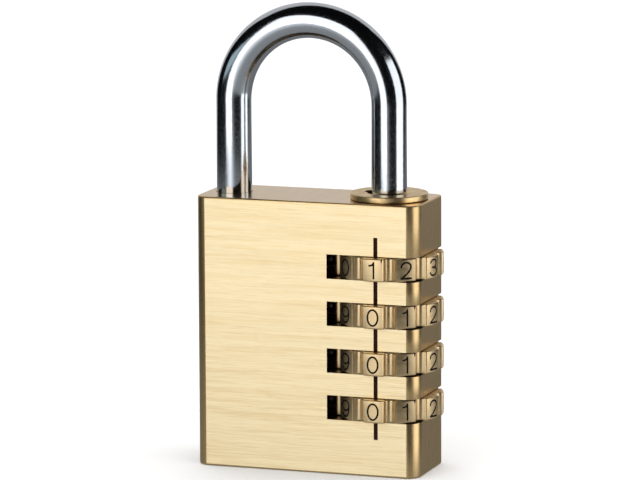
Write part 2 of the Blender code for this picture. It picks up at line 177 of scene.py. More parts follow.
def compute(tree, operation, first, second):
    """The result of a Math node on two values."""
    return add(tree, "ShaderNodeMath", {0: first, 1: second}, operation=operation).outputs[0]


def dot(tree, vector, axis):
    """The dot product of a vector socket and a fixed axis."""
    return add(tree, "ShaderNodeVectorMath", {0: vector, 1: axis}, operation="DOT_PRODUCT").outputs["Value"]


def object_point(tree):
    return add(tree, "ShaderNodeTexCoord").outputs["Object"]


def turned_point(tree):
    """(arc length, height, radius) round the piece's own Z axis, for marks left by a lathe."""
    split = add(tree, "ShaderNodeSeparateXYZ", {"Vector": object_point(tree)})
    x, y, z = split.outputs
    arc_length = compute(tree, "MULTIPLY", compute(tree, "ARCTAN2", y, x), DIAL_RADIUS)
    flat = add(tree, "ShaderNodeCombineXYZ", {"X": x, "Y": y}).outputs[0]
    radius = add(tree, "ShaderNodeVectorMath", {0: flat}, operation="LENGTH").outputs["Value"]
    return add(tree, "ShaderNodeCombineXYZ", {"X": arc_length, "Y": z, "Z": radius}).outputs[0]


def noise(tree, point, lengths, detail=3.0, roughness=0.55):
    """Noise whose cells are about the given lengths along each axis of the point."""
    scale = tuple(1 / length for length in lengths)
    mapped = add(tree, "ShaderNodeMapping", {"Vector": point, "Scale": scale}).outputs[0]
    inputs = {"Vector": mapped, "Scale": 1.0, "Detail": detail, "Roughness": roughness}
    return add(tree, "ShaderNodeTexNoise", inputs).outputs["Fac"]


def remap(tree, value, low, high, to_low=0.0, to_high=1.0):
    inputs = {"Value": value, "From Min": low, "From Max": high, "To Min": to_low, "To Max": to_high}
    return add(tree, "ShaderNodeMapRange", inputs).outputs["Result"]


def blend_colours(tree, share, first, second):
    node = add(tree, "ShaderNodeMix", data_type="RGBA")
    sockets = {socket.identifier: socket for socket in node.inputs}
    tree.links.new(share, sockets["Factor_Float"])
    sockets["A_Color"].default_value = (*first, 1.0)
    sockets["B_Color"].default_value = (*second, 1.0)
    return next(out for out in node.outputs if out.identifier == "Result_Color")


def bump(tree, height, distance, below=None):
    """A normal bent by a height, over the normal below it where one is given."""
    inputs = {"Height": height, "Distance": distance, "Strength": 1.0}
    if below is not None:
        inputs["Normal"] = below
    return add(tree, "ShaderNodeBump", inputs).outputs["Normal"]


def new_material(name, metallic=1.0, anisotropic=0.0):
    made = bpy.data.materials.new(name)
    made.use_nodes = True
    shader = made.node_tree.nodes["Principled BSDF"]
    shader.inputs["Metallic"].default_value = metallic
    shader.inputs["Anisotropic"].default_value = anisotropic
    return made, made.node_tree, shader


def wire_up(tree, shader, colour, roughness, normal):
    tree.links.new(colour, shader.inputs["Base Color"])
    tree.links.new(roughness, shader.inputs["Roughness"])
    tree.links.new(normal, shader.inputs["Normal"])


def brushed_brass():
    """The front and back: long crisp brushing lines along X over softer broad bands."""
    made, tree, shader = new_material("brushed_brass", anisotropic=0.8)
    across = add(tree, "ShaderNodeTangent", direction_type="RADIAL", axis="X").outputs[0]
    tree.links.new(across, shader.inputs["Tangent"])
    point = object_point(tree)
    lines = noise(tree, point, (6 * MM, 5 * MM, 0.16 * MM), detail=2)
    bands = noise(tree, point, (26 * MM, 5 * MM, 0.8 * MM), detail=3)
    scores = noise(tree, point, (5 * MM, 5 * MM, 0.17 * MM), detail=1)
    hairs = noise(tree, point, (5 * MM, 5 * MM, 0.09 * MM), detail=2)
    lines = remap(tree, lines, 0.36, 0.64)
    bands = remap(tree, bands, 0.35, 0.65, 0.0, 0.6)
    scores = remap(tree, scores, 0.62, 0.70, 0.0, -0.5)
    mixed = compute(tree, "ADD", compute(tree, "ADD", lines, bands), scores)
    share = remap(tree, mixed, -0.1, 1.2)
    colour = blend_colours(tree, share, (0.82, 0.630, 0.345), (1.0, 0.835, 0.535))
    roughness = remap(tree, lines, 0.0, 1.0, 0.30, 0.40)
    normal = bump(tree, lines, 0.004 * MM)
    normal = bump(tree, hairs, 0.003 * MM, below=normal)
    wire_up(tree, shader, colour, roughness, normal)
    return made


def drawn_brass():
    """The sides and round edges: faint drawing lines along Z and a fine grain."""
    made, tree, shader = new_material("drawn_brass")
    point = object_point(tree)
    lines = noise(tree, point, (0.22 * MM, 0.22 * MM, 16 * MM), detail=3)
    grain = noise(tree, point, (0.12 * MM, 0.12 * MM, 0.16 * MM), detail=2)
    both = compute(tree, "ADD", lines, grain)
    colour = blend_colours(tree, remap(tree, both, 0.7, 1.3), (0.68, 0.465, 0.215), (0.88, 0.640, 0.330))
    roughness = remap(tree, grain, 0.3, 0.7, 0.27, 0.39)
    normal = bump(tree, lines, 0.004 * MM)
    normal = bump(tree, grain, 0.006 * MM, below=normal)
    wire_up(tree, shader, colour, roughness, normal)
    return made


def faced_brass():
    """The sawn and faced top and base: an even satin with faint cross marks."""
    made, tree, shader = new_material("faced_brass")
    point = object_point(tree)
    marks = noise(tree, point, (0.3 * MM, 9 * MM, 5 * MM), detail=3)
    grain = noise(tree, point, (0.15 * MM, 0.15 * MM, 0.15 * MM), detail=2)
    colour = blend_colours(tree, remap(tree, marks, 0.3, 0.7), (0.78, 0.565, 0.340), (0.88, 0.655, 0.410))
    roughness = remap(tree, grain, 0.3, 0.7, 0.19, 0.26)
    normal = bump(tree, marks, 0.003 * MM)
    normal = bump(tree, grain, 0.003 * MM, below=normal)
    wire_up(tree, shader, colour, roughness, normal)
    return made


def milled_brass():
    """Inside the slots and bores: duller, with cutter marks, and a mottled near-black colour that is painted
    shade in the recesses.
    """
    made, tree, shader = new_material("milled_brass")
    point = object_point(tree)
    marks = noise(tree, point, (0.4 * MM, 0.4 * MM, 0.12 * MM), detail=3)
    mottle = noise(tree, point, (2.5 * MM, 2.5 * MM, 2.5 * MM), detail=4)
    # Painted shade: these colours are kept near black so the slots, bores and keyhole look shaded.
    colour = blend_colours(tree, remap(tree, mottle, 0.35, 0.65), (0.09, 0.055, 0.030), (0.24, 0.165, 0.090))
    roughness = remap(tree, mottle, 0.3, 0.7, 0.52, 0.34)
    wire_up(tree, shader, colour, roughness, bump(tree, marks, 0.012 * MM))
    return made


def index_paint():
    """Dark brown paint that fills the index groove, a little uneven along it."""
    made, tree, shader = new_material("index_paint", metallic=0.0)
    point = object_point(tree)
    uneven = noise(tree, point, (0.4 * MM, 0.4 * MM, 0.7 * MM), detail=3)
    colour = blend_colours(tree, remap(tree, uneven, 0.3, 0.7), (0.018, 0.003, 0.002), (0.048, 0.011, 0.006))
    roughness = remap(tree, uneven, 0.3, 0.7, 0.50, 0.70)
    shader.inputs["Specular IOR Level"].default_value = 0.1
    wire_up(tree, shader, colour, roughness, bump(tree, uneven, 0.02 * MM))
    return made


def dial_brass():
    """The dials: bright turned brass with hair-fine marks round them, a little grain on the pads."""
    made, tree, shader = new_material("dial_brass")
    around = turned_point(tree)
    hairs = noise(tree, around, (6 * MM, 0.09 * MM, 3 * MM), detail=3)
    soft = noise(tree, object_point(tree), (1.1 * MM, 1.1 * MM, 1.1 * MM), detail=4)
    both = compute(tree, "ADD", hairs, soft)
    colour = blend_colours(tree, remap(tree, both, 0.7, 1.3), (0.74, 0.540, 0.285), (0.90, 0.695, 0.415))
    roughness = remap(tree, soft, 0.3, 0.7, 0.29, 0.40)
    normal = bump(tree, hairs, 0.0015 * MM)
    normal = bump(tree, soft, 0.004 * MM, below=normal)
    wire_up(tree, shader, colour, roughness, normal)
    return made


def digit_paint():
    """Black fill in the engraving, slightly worn."""
    made, tree, shader = new_material("digit_paint", metallic=0.0)
    worn = noise(tree, object_point(tree), (0.25 * MM, 0.25 * MM, 0.25 * MM), detail=3)
    colour = blend_colours(tree, remap(tree, worn, 0.35, 0.75), (0.003, 0.002, 0.002), (0.016, 0.010, 0.006))
    roughness = remap(tree, worn, 0.3, 0.7, 0.55, 0.80)
    shader.inputs["Specular IOR Level"].default_value = 0.2
    wire_up(tree, shader, colour, roughness, bump(tree, worn, 0.01 * MM))
    return made


def collar_brass():
    """The collar: duller turned brass with rings round the hole."""
    made, tree, shader = new_material("collar_brass")
    around = turned_point(tree)
    rings = noise(tree, around, (9 * MM, 0.12 * MM, 0.12 * MM), detail=3)
    tarnish = noise(tree, object_point(tree), (1.6 * MM, 1.6 * MM, 1.6 * MM), detail=4)
    colour = blend_colours(tree, remap(tree, tarnish, 0.3, 0.7), (0.72, 0.505, 0.240), (0.92, 0.690, 0.370))
    roughness = remap(tree, tarnish, 0.3, 0.7, 0.42, 0.28)
    normal = bump(tree, rings, 0.004 * MM)
    normal = bump(tree, tarnish, 0.010 * MM, below=normal)
    wire_up(tree, shader, colour, roughness, normal)
    return made


def chrome():
    """The bar: polished chrome with a faint speckled haze and hair scratches down it."""
    made, tree, shader = new_material("chrome_plate")
    point = object_point(tree)
    haze = noise(tree, point, (0.22 * MM, 0.22 * MM, 0.35 * MM), detail=5, roughness=0.75)
    hairs = noise(tree, point, (0.10 * MM, 0.10 * MM, 6 * MM), detail=2)
    colour = blend_colours(tree, remap(tree, haze, 0.3, 0.7), (0.56, 0.595, 0.650), (0.66, 0.690, 0.730))
    roughness = remap(tree, haze, 0.42, 0.68, 0.08, 0.24)
    normal = bump(tree, haze, 0.003 * MM)
    normal = bump(tree, hairs, 0.0005 * MM, below=normal)
    wire_up(tree, shader, colour, roughness, normal)
    return made


def machined(name, dark, light, rough_low, rough_high):
    """A plain machined metal for the inner pieces."""
    made, tree, shader = new_material(name)
    point = object_point(tree)
    marks = noise(tree, point, (0.5 * MM, 0.5 * MM, 0.10 * MM), detail=3)
    mottle = noise(tree, point, (1.5 * MM, 1.5 * MM, 1.5 * MM), detail=3)
    colour = blend_colours(tree, remap(tree, mottle, 0.3, 0.7), dark, light)
    roughness = remap(tree, mottle, 0.3, 0.7, rough_low, rough_high)
    wire_up(tree, shader, colour, roughness, bump(tree, marks, 0.006 * MM))
    return made


BRUSHED = brushed_brass()
DRAWN = drawn_brass()
FACED = faced_brass()
# MILLED carries the painted shade of the slots, bores and keyhole onto the faces the cutters open.
MILLED = milled_brass()
INDEX_PAINT = index_paint()
DIAL = dial_brass()
DIGIT_PAINT = digit_paint()
COLLAR = collar_brass()
CHROME = chrome()
INNER = machined("inner_brass", (0.50, 0.375, 0.195), (0.72, 0.560, 0.320), 0.30, 0.45)
STEEL = machined("spring_steel", (0.34, 0.335, 0.340), (0.56, 0.555, 0.560), 0.24, 0.40)


# ---------------------------------------------------------------- meshes


def polar(radius, angle):
    return radius * math.cos(angle), radius * math.sin(angle)


def finished(bm, name, materials):
    """The mesh of a bmesh, faces out, shaded smooth with its real edges sharp."""
    bmesh.ops.recalc_face_normals(bm, faces=bm.faces)
    mesh = bpy.data.meshes.new(name)
    bm.to_mesh(mesh)
    bm.free()
    for material in materials:
        mesh.materials.append(material)
    mesh.shade_smooth()
    mesh.set_sharp_from_angle(angle=SMOOTH_ANGLE)
    return mesh


def place(name, mesh, location=(0, 0, 0), rotation=(0, 0, 0)):
    piece = bpy.data.objects.new(name, mesh)
    bpy.context.scene.collection.objects.link(piece)
    piece.location = location
    piece.rotation_euler = rotation
    return piece


def spin_profile(bm, profile, steps):
    """A (radius, height) profile spun round Z: a closed loop, or a run that starts and ends on Z."""
    points = [bm.verts.new((radius, 0, height)) for radius, height in profile]
    edges = [bm.edges.new(pair) for pair in zip(points, points[1:])]
    if profile[0][0] > 0:
        edges.append(bm.edges.new((points[-1], points[0])))
    bmesh.ops.spin(
        bm, geom=points + edges, cent=(0, 0, 0), axis=(0, 0, 1),
        angle=math.tau, steps=steps, use_merge=True,
    )
    bmesh.ops.remove_doubles(bm, verts=bm.verts, dist=MERGE_DISTANCE)


def turned(name, profile, material, steps=ROUND_STEPS):
    bm = bmesh.new()
    spin_profile(bm, profile, steps)
    return finished(bm, name, [material])


def cylinder(name, radius, bottom, top, material, steps=ROUND_STEPS):
    return turned(name, [(0, bottom), (radius, bottom), (radius, top), (0, top)], material, steps)


def add_block(bm, low, high):
    size = Vector(high) - Vector(low)
    matrix = Matrix.Translation((Vector(high) + Vector(low)) / 2) @ Matrix.Diagonal((*size, 1))
    bmesh.ops.create_cube(bm, size=1, matrix=matrix)


def block(name, low, high, material):
    bm = bmesh.new()
    add_block(bm, low, high)
    return finished(bm, name, [material])


def rounded_corner(centre, radius, start, steps, turn=90):
    """Points of a turn round a (radius, height) centre, from the start angle, both in degrees."""
    for step in range(steps + 1):
        x, y = polar(radius, math.radians(start + turn * step / steps))
        yield centre[0] + x, centre[1] + y


def add_levels(bm, levels):
    """Bridges outlines of equal length, each a list of points, and caps the first and the last."""
    rings = [[bm.verts.new(point) for point in outline] for outline in levels]
    count = len(rings[0])
    for lower, upper in zip(rings, rings[1:]):
        for index in range(count):
            after = (index + 1) % count
            bm.faces.new((lower[index], lower[after], upper[after], upper[index]))
    bm.faces.new(rings[0])
    bm.faces.new(rings[-1])


def cut(piece, cutters):
    """Cuts the piece with the cutters in one Boolean, their materials on the cut faces."""
    group = bpy.data.collections.new(f"{piece.name}_cutters")
    bpy.context.scene.collection.children.link(group)
    for cutter in cutters:
        bpy.context.scene.collection.objects.unlink(cutter)
        group.objects.link(cutter)
    modifier = piece.modifiers.new("cut", "BOOLEAN")
    modifier.operation = "DIFFERENCE"
    modifier.solver = "EXACT"
    modifier.material_mode = "TRANSFER"
    modifier.operand_type = "COLLECTION"
    modifier.collection = group
    bpy.context.view_layer.update()
    evaluated = piece.evaluated_get(bpy.context.evaluated_depsgraph_get())
    whole = piece.data
    piece.data = bpy.data.meshes.new_from_object(evaluated)
    piece.modifiers.clear()
    bpy.data.meshes.remove(whole)
    for cutter in cutters:
        bpy.data.objects.remove(cutter)
    bpy.data.collections.remove(group)


def is_flat(face):
    """Whether a face lies square to an axis, as the flat sides of a cut block do."""
    return max(abs(part) for part in face.normal) > 1 - 1e-6


def reshade(mesh):
    """Shades a cut mesh smooth, with hard edges sharp and the rim of each flat face kept flat."""
    bm = bmesh.new()
    bm.from_mesh(mesh)
    for face in bm.faces:
        face.smooth = True
    for edge in bm.edges:
        angle = edge.calc_face_angle(0)
        beside_flat = any(is_flat(face) for face in edge.link_faces)
        edge.smooth = angle < SMOOTH_ANGLE and not (beside_flat and angle > 1e-3)
    bm.to_mesh(mesh)
    bm.free()


# ---------------------------------------------------------------- body


def corner_centre(radius):
    """Where a round edge turns, measured from the body's middle."""
    return HALF_WIDTH - radius, HALF_DEPTH - radius * math.cos(CORNER_CUT)


def body_outline(inset):
    """The body's outline, counter-clockwise: round edges that the flat front and back cut short."""
    for x_side, y_side, base in ((1, -1, 0), (1, 1, 0), (-1, 1, 180), (-1, -1, 180)):
        whole = CORNER_RADIUS if y_side < 0 else REAR_CORNER_RADIUS
        reach_x, reach_y = corner_centre(whole)
        radius = whole - inset
        cut_angle = math.asin((radius * math.cos(CORNER_CUT) - inset * (1 - math.cos(CORNER_CUT))) / radius)
        turn = math.degrees(cut_angle)
        start = base if x_side == y_side else base - turn
        centre = (x_side * reach_x, y_side * reach_y)
        yield from rounded_corner(centre, radius, start, CORNER_STEPS, turn)


def body_levels():
    """Outlines up the body, with its top and bottom rims rounded."""
    rounding = [math.radians(90 * step / EDGE_BREAK_STEPS) for step in range(EDGE_BREAK_STEPS + 1)]
    rims = [(EDGE_BREAK * math.sin(angle), EDGE_BREAK * (1 - math.cos(angle))) for angle in rounding]
    heights = [(EDGE_BREAK - rise, inset) for rise, inset in reversed(rims)]
    heights += [(BODY_HEIGHT - EDGE_BREAK + rise, inset) for rise, inset in rims]
    for z, inset in heights:
        yield [(x, y, z) for x, y in body_outline(inset)]


def body_block():
    bm = bmesh.new()
    add_levels(bm, list(body_levels()))
    bmesh.ops.recalc_face_normals(bm, faces=bm.faces)
    materials = [BRUSHED, DRAWN, FACED]
    for face in bm.faces:
        if abs(face.normal.y) > SQUARE_ON:
            look = BRUSHED
        elif abs(face.normal.z) > SQUARE_ON:
            look = FACED
        else:
            look = DRAWN
        face.material_index = materials.index(look)
    return finished(bm, "body", materials)


def bore_profile():
    """The stepped bore: sleeves below, fin chamber, then the collar's seat, open at both ends."""
    return [
        (0, -PAST),
        (BORE_RADIUS, -PAST),
        (BORE_RADIUS, BORE_TOP_Z),
        (CHAMBER_RADIUS, BORE_TOP_Z),
        (CHAMBER_RADIUS, COLLAR_SEAT_Z),
        (COLLAR_SEAT_RADIUS, COLLAR_SEAT_Z),
        (COLLAR_SEAT_RADIUS, BODY_HEIGHT + PAST),
        (0, BODY_HEIGHT + PAST),
    ]


def body_cutters():
    lay_along_x = (0, math.radians(90), 0)
    bore = turned("bore", bore_profile(), MILLED)
    toe_profile = [
        (0, TOE_HOLE_FLOOR_Z),
        (TOE_HOLE_RADIUS, TOE_HOLE_FLOOR_Z),
        (TOE_HOLE_RADIUS, BODY_HEIGHT - TOE_HOLE_RIM),
        (TOE_HOLE_RADIUS + TOE_HOLE_RIM, BODY_HEIGHT),
        (TOE_HOLE_RADIUS + TOE_HOLE_RIM, BODY_HEIGHT + PAST),
        (0, BODY_HEIGHT + PAST),
    ]
    groove = block(
        "groove",
        (-INDEX_WIDTH / 2, -HALF_DEPTH - PAST, INDEX_BOTTOM_Z),
        (INDEX_WIDTH / 2, -HALF_DEPTH + INDEX_DEPTH, INDEX_TOP_Z),
        INDEX_PAINT,
    )
    slot = cylinder("slot", SLOT_RADIUS, -SLOT_HEIGHT / 2, SLOT_HEIGHT / 2, MILLED, SLOT_STEPS)
    bore_length = AXIS_X - SLOT_RADIUS - DETENT_BORE_END_X + PAST
    detent = cylinder("detent", DETENT_BORE_RADIUS, 0, bore_length, MILLED, SMALL_STEPS)
    yield place("cut_bore", bore, (AXIS_X, 0, 0))
    yield place("cut_toe_hole", turned("toe_hole", toe_profile, MILLED), (TOE_X, 0, 0))
    yield place("cut_index_line", groove, (AXIS_X, 0, 0))
    for number in NUMBERS:
        yield place(f"cut_slot_{number}", slot, (AXIS_X, 0, DIAL_Z[number]))
        yield place(f"cut_detent_{number}", detent, (DETENT_BORE_END_X, 0, DIAL_Z[number]), lay_along_x)


def on_outside(point):
    """Whether a point lies on the body's upright outside faces."""
    if abs(abs(point.x) - HALF_WIDTH) < CLOSE or abs(abs(point.y) - HALF_DEPTH) < CLOSE:
        return True
    radius = CORNER_RADIUS if point.y < 0 else REAR_CORNER_RADIUS
    reach_x, reach_y = corner_centre(radius)
    out_x, out_y = abs(point.x) - reach_x, abs(point.y) - reach_y
    return out_x > 0 and out_y > 0 and abs(math.hypot(out_x, out_y) - radius) < CLOSE


def break_slot_edges(mesh):
    """Takes the sharpness off the slots' mouths with a narrow bevel."""
    bm = bmesh.new()
    bm.from_mesh(mesh)
    chosen = []
    for edge in bm.edges:
        middle = (edge.verts[0].co + edge.verts[1].co) / 2
        in_slot = min(abs(middle.z - z) for z in DIAL_Z.values()) < SLOT_HEIGHT / 2 + 2 * CLOSE
        ends = [vert.co for vert in edge.verts]
        in_groove = middle.y < 0 and all(abs(co.x - AXIS_X) < INDEX_WIDTH for co in ends)
        if len(edge.link_faces) != 2 or not in_slot or in_groove:
            continue
        if all(on_outside(co) for co in ends) and edge.calc_face_angle(0) > SLOT_EDGE_ANGLE:
            chosen.append(edge)
    bmesh.ops.bevel(
        bm, geom=chosen, offset=SLOT_EDGE_BREAK, offset_type="OFFSET",
        segments=2, profile=0.5, affect="EDGES", clamp_overlap=True,
    )
    bm.to_mesh(mesh)
    bm.free()


def make_body():
    body = place("body_block", body_block())
    cut(body, list(body_cutters()))
    break_slot_edges(body.data)
    reshade(body.data)
    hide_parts("lock_body")
    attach(body, "case")


# ---------------------------------------------------------------- shackle and collar


def bar_end_rings():
    """(height above the end, radius) up one rounded end of the bar."""
    for step in range(BAR_END_STEPS + 1):
        angle = math.radians(90 * step / BAR_END_STEPS)
        yield BAR_END_ROUNDING * (1 - math.cos(angle)), BAR_RADIUS - BAR_END_ROUNDING * (1 - math.sin(angle))


def bar_rings():
    """(x, z, tilt, radius) of each ring along the bent bar, from the toe's end to the long end."""
    centre_x = (TOE_X + AXIS_X) / 2
    for rise, radius in bar_end_rings():
        yield TOE_X, TOE_END_Z + rise, 0, radius
    for step in range(BOW_STEPS + 1):
        turn = math.pi * step / BOW_STEPS
        x, z = -BOW_RADIUS * math.cos(turn), BOW_RADIUS * math.sin(turn)
        yield centre_x + x, BOW_Z + z, turn, BAR_RADIUS
    for rise, radius in reversed(list(bar_end_rings())):
        yield AXIS_X, LONG_END_Z + rise, math.pi, radius


def bar_mesh():
    levels = []
    for x, z, tilt, radius in bar_rings():
        at_ring = Matrix.Translation((x, 0, z)) @ Matrix.Rotation(tilt, 4, "Y")
        circle = [polar(radius, math.tau * side / BAR_SIDES) for side in range(BAR_SIDES)]
        levels.append([at_ring @ Vector((u, v, 0)) for u, v in circle])
    bm = bmesh.new()
    add_levels(bm, levels)
    return finished(bm, "bar", [CHROME])


def fin_mesh():
    """One fin with its outer edges rounded."""
    half = FIN_WIDTH / 2
    bm = bmesh.new()
    add_block(bm, (BAR_RADIUS - FIN_ROOT, -half, -FIN_HEIGHT), (FIN_REACH, half, 0))
    outer = [edge for edge in bm.edges if all(vert.co.x > BAR_RADIUS for vert in edge.verts)]
    bmesh.ops.bevel(bm, geom=outer, offset=FIN_ROUNDING, segments=3, profile=0.5, affect="EDGES")
    return finished(bm, "fin", [STEEL])


def make_shackle():
    bar = place("shackle_bar", bar_mesh())
    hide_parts("shackle")
    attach(bar, "shackle")
    fin = fin_mesh()
    for number in NUMBERS:
        piece = place(f"shackle_fin_{number}", fin, (AXIS_X, 0, DIAL_Z[number] + FIN_TOP))
        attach(piece, "shackle")


def collar_profile():
    """The stem below, its ends chamfered, and the round-rimmed flange, with a countersink for the bar."""
    top = FLANGE_TOP_Z
    rim = COLLAR_RIM
    return [
        (BAR_HOLE_RADIUS, COLLAR_LOW.z + rim),
        (BAR_HOLE_RADIUS + rim, COLLAR_LOW.z),
        (COLLAR_STEM_RADIUS - rim, COLLAR_LOW.z),
        (COLLAR_STEM_RADIUS, COLLAR_LOW.z + rim),
        (COLLAR_STEM_RADIUS, FLANGE_BOTTOM_Z),
        *rounded_corner((FLANGE_RADIUS - rim / 2, FLANGE_BOTTOM_Z + rim / 2), rim / 2, -90, 4),
        *rounded_corner((FLANGE_RADIUS - rim, top - rim), rim, 0, 6),
        (BAR_HOLE_RADIUS + COUNTERSINK, top),
        (BAR_HOLE_RADIUS + COUNTERSINK_SHOULDER * COUNTERSINK, top - COUNTERSINK_LIP),
        (BAR_HOLE_RADIUS, top - COUNTERSINK),
    ]


def keyhole_mesh():
    """A slot with a round end that runs from the axis toward the toe."""
    half = KEYHOLE_WIDTH / 2
    straight = KEYHOLE_RADIUS - half
    turns = [90 + 180 * step / KEYHOLE_STEPS for step in range(KEYHOLE_STEPS + 1)]
    outline = [polar(half, math.radians(turn)) for turn in turns]
    outline = [(0, half)] + [(x - straight, y) for x, y in outline] + [(0, -half)]
    bm = bmesh.new()
    heights = (COLLAR_LOW.z - PAST, COLLAR_HIGH.z + PAST)
    add_levels(bm, [[(x, y, z) for x, y in outline] for z in heights])
    return finished(bm, "keyhole", [MILLED])


def make_collar():
    collar = place("collar_ring", turned("collar", collar_profile(), COLLAR), (AXIS_X, 0, 0))
    cut(collar, [place("cut_keyhole", keyhole_mesh(), (AXIS_X, 0, 0))])
    reshade(collar.data)
    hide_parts("shackle_collar")
    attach(collar, "case")


# ---------------------------------------------------------------- dials


def valley_angles():
    """(half angle of a pad, half angle of a valley) seen from the dial's axis."""
    half_pad = math.asin(PAD_WIDTH / 2 / DIAL_RADIUS)
    return half_pad, math.pi / POSITIONS - half_pad


def groove_points(half_valley):
    """(across, outward) points of a groove between two pads: straight walls and a round bottom."""
    wall_steps, bottom_steps = 4, 14
    reach = DIAL_RADIUS * math.sin(half_valley)
    mouth = DIAL_RADIUS * math.cos(half_valley)
    foot = GROOVE_RADIUS * math.sin(GROOVE_WALL)
    foot_height = mouth - (reach - foot) * math.tan(GROOVE_WALL)
    centre = foot_height + GROOVE_RADIUS * math.cos(GROOVE_WALL)
    wall = [(reach + (foot - reach) * step / wall_steps) for step in range(1, wall_steps)]
    wall = [(across, mouth - (reach - across) * math.tan(GROOVE_WALL)) for across in wall]
    yield from ((-across, outward) for across, outward in wall)
    for step in range(bottom_steps + 1):
        turn = GROOVE_WALL * (2 * step / bottom_steps - 1)
        yield GROOVE_RADIUS * math.sin(turn), centre - GROOVE_RADIUS * math.cos(turn)
    yield from reversed(wall)


def dial_circle():
    """(angle, radius) round the dial: ten pads and a groove between each two."""
    pad_steps = 10
    half_pad, half_valley = valley_angles()
    groove = list(groove_points(half_valley))
    softened = CUSP_ROUNDING / DIAL_RADIUS
    for position in range(POSITIONS):
        middle = -math.pi / 2 + math.tau * position / POSITIONS
        for step in range(pad_steps + 1):
            share = 2 * step / pad_steps - 1
            yield middle + (half_pad - softened) * share, DIAL_RADIUS
        valley = middle + math.pi / POSITIONS
        for across, outward in groove:
            yield valley + math.atan2(across, outward), math.hypot(across, outward)


def dial_outline(inset):
    return [polar(radius - inset, angle) for angle, radius in dial_circle()]


def wheel_mesh():
    """The dial's outside, its rims rounded."""
    half, rounding, steps = DIAL_HEIGHT / 2, DIAL_EDGE_ROUNDING, 6
    rim = [math.radians(90 * step / steps) for step in range(steps + 1)]
    lower = [(-half + rounding * (1 - math.cos(turn)), rounding * (1 - math.sin(turn))) for turn in rim]
    levels = lower + [(-z, inset) for z, inset in reversed(lower)]
    bm = bmesh.new()
    add_levels(bm, [[(x, y, z) for x, y in dial_outline(inset)] for z, inset in levels])
    return finished(bm, "wheel", [DIAL])


def arc(centre_x, centre_y, reach_x, reach_y, start, end, steps=22):
    """Points of an ellipse's arc, its angles in degrees, in half widths and half heights of a digit."""
    for step in range(steps + 1):
        angle = math.radians(start + (end - start) * step / steps)
        yield centre_x + reach_x * math.cos(angle), centre_y + reach_y * math.sin(angle)


def bend(start, through, end, steps=12):
    """A quadratic curve from start to end that leans toward a third point."""
    for step in range(steps + 1):
        t = step / steps
        near, middle, far = (1 - t) ** 2, 2 * t * (1 - t), t**2
        yield tuple(near * a + middle * b + far * c for a, b, c in zip(start, through, end))


def ring(centre_x, centre_y, reach_x, reach_y, steps=40):
    return list(arc(centre_x, centre_y, reach_x, reach_y, 0, 360, steps))[:-1]


SIX_TAIL = list(arc(0.04, 0.0, 1.04, 1.0, 200, 38))
SIX_BOWL = ring(0.0, -0.37, 1.0, 0.63)

# Each digit's strokes as (points, whether the stroke closes on itself).
DIGITS = {
    0: [(ring(0, 0, 1, 1), True)],
    1: [
        ([(0.22, -1), (0.22, 1)], False),
        (list(arc(-0.62, 1.0, 0.84, 0.40, -90, 0, 10)), False),
    ],
    2: [
        (list(arc(0, 0.42, 0.94, 0.58, 178, -28)), False),
        (list(bend((0.83, 0.148), (0.52, -0.28), (-0.94, -1))), False),
        ([(-0.94, -1), (1, -1)], False),
    ],
    3: [
        (list(arc(-0.02, 0.50, 0.84, 0.50, 165, -88)), False),
        (list(arc(-0.02, -0.48, 0.98, 0.52, 88, -168)), False),
        ([(-0.36, 0.02), (0.02, 0.02)], False),
    ],
    4: [
        ([(0.42, -1), (0.42, 1)], False),
        ([(0.42, 1), (-1, -0.38)], False),
        ([(-1, -0.38), (1, -0.38)], False),
    ],
    5: [
        ([(0.84, 1), (-0.62, 1)], False),
        ([(-0.62, 1), (-0.84, 0.02)], False),
        (list(arc(0, -0.34, 1.0, 0.66, 147, -158)), False),
    ],
    6: [(SIX_BOWL, True), (SIX_TAIL, False)],
    7: [
        ([(-1, 1), (1, 1)], False),
        (list(bend((1, 1), (-0.12, 0.1), (-0.34, -1))), False),
    ],
    8: [(ring(0, 0.51, 0.83, 0.49), True), (ring(0, -0.47, 1.0, 0.53), True)],
    9: [([(-x, -y) for x, y in SIX_BOWL], True), ([(-x, -y) for x, y in SIX_TAIL], False)],
}


def stroke_sides(path, closed, half_width):
    """The left and right edges of a stroke of even width along a path."""
    count = len(path)
    left, right = [], []
    for index, point in enumerate(path):
        before = path[index - 1] if closed or index else point
        after = path[(index + 1) % count] if closed or index < count - 1 else point
        along = (after - before).normalized()
        across = Vector((-along.y, along.x)) * half_width
        left.append(point + across)
        right.append(point - across)
    return left, right


def round_end(tip, outward, half_width, steps=6):
    """Points of a half circle past the end of a stroke, from its left edge to its right."""
    side = Vector((-outward.y, outward.x))
    for step in range(1, steps):
        turn = math.pi * step / steps
        yield tip + (side * math.cos(turn) + outward * math.sin(turn)) * half_width


def stroke_row(bm, path, closed, on_pad, height, half_width):
    """The vertices of a stroke at one height: its left and right sides, and its ends if it is open."""
    sides = stroke_sides(path, closed, half_width)
    left, right = [[bm.verts.new(on_pad(point, height)) for point in side] for side in sides]
    ends = []
    if not closed:
        tips = ((path[-1], path[-2], left[-1], right[-1]), (path[0], path[1], right[0], left[0]))
        for tip, before, first, last in tips:
            points = round_end(tip, (tip - before).normalized(), half_width)
            ends.append([first, *[bm.verts.new(on_pad(point, height)) for point in points], last])
    return left, right, ends


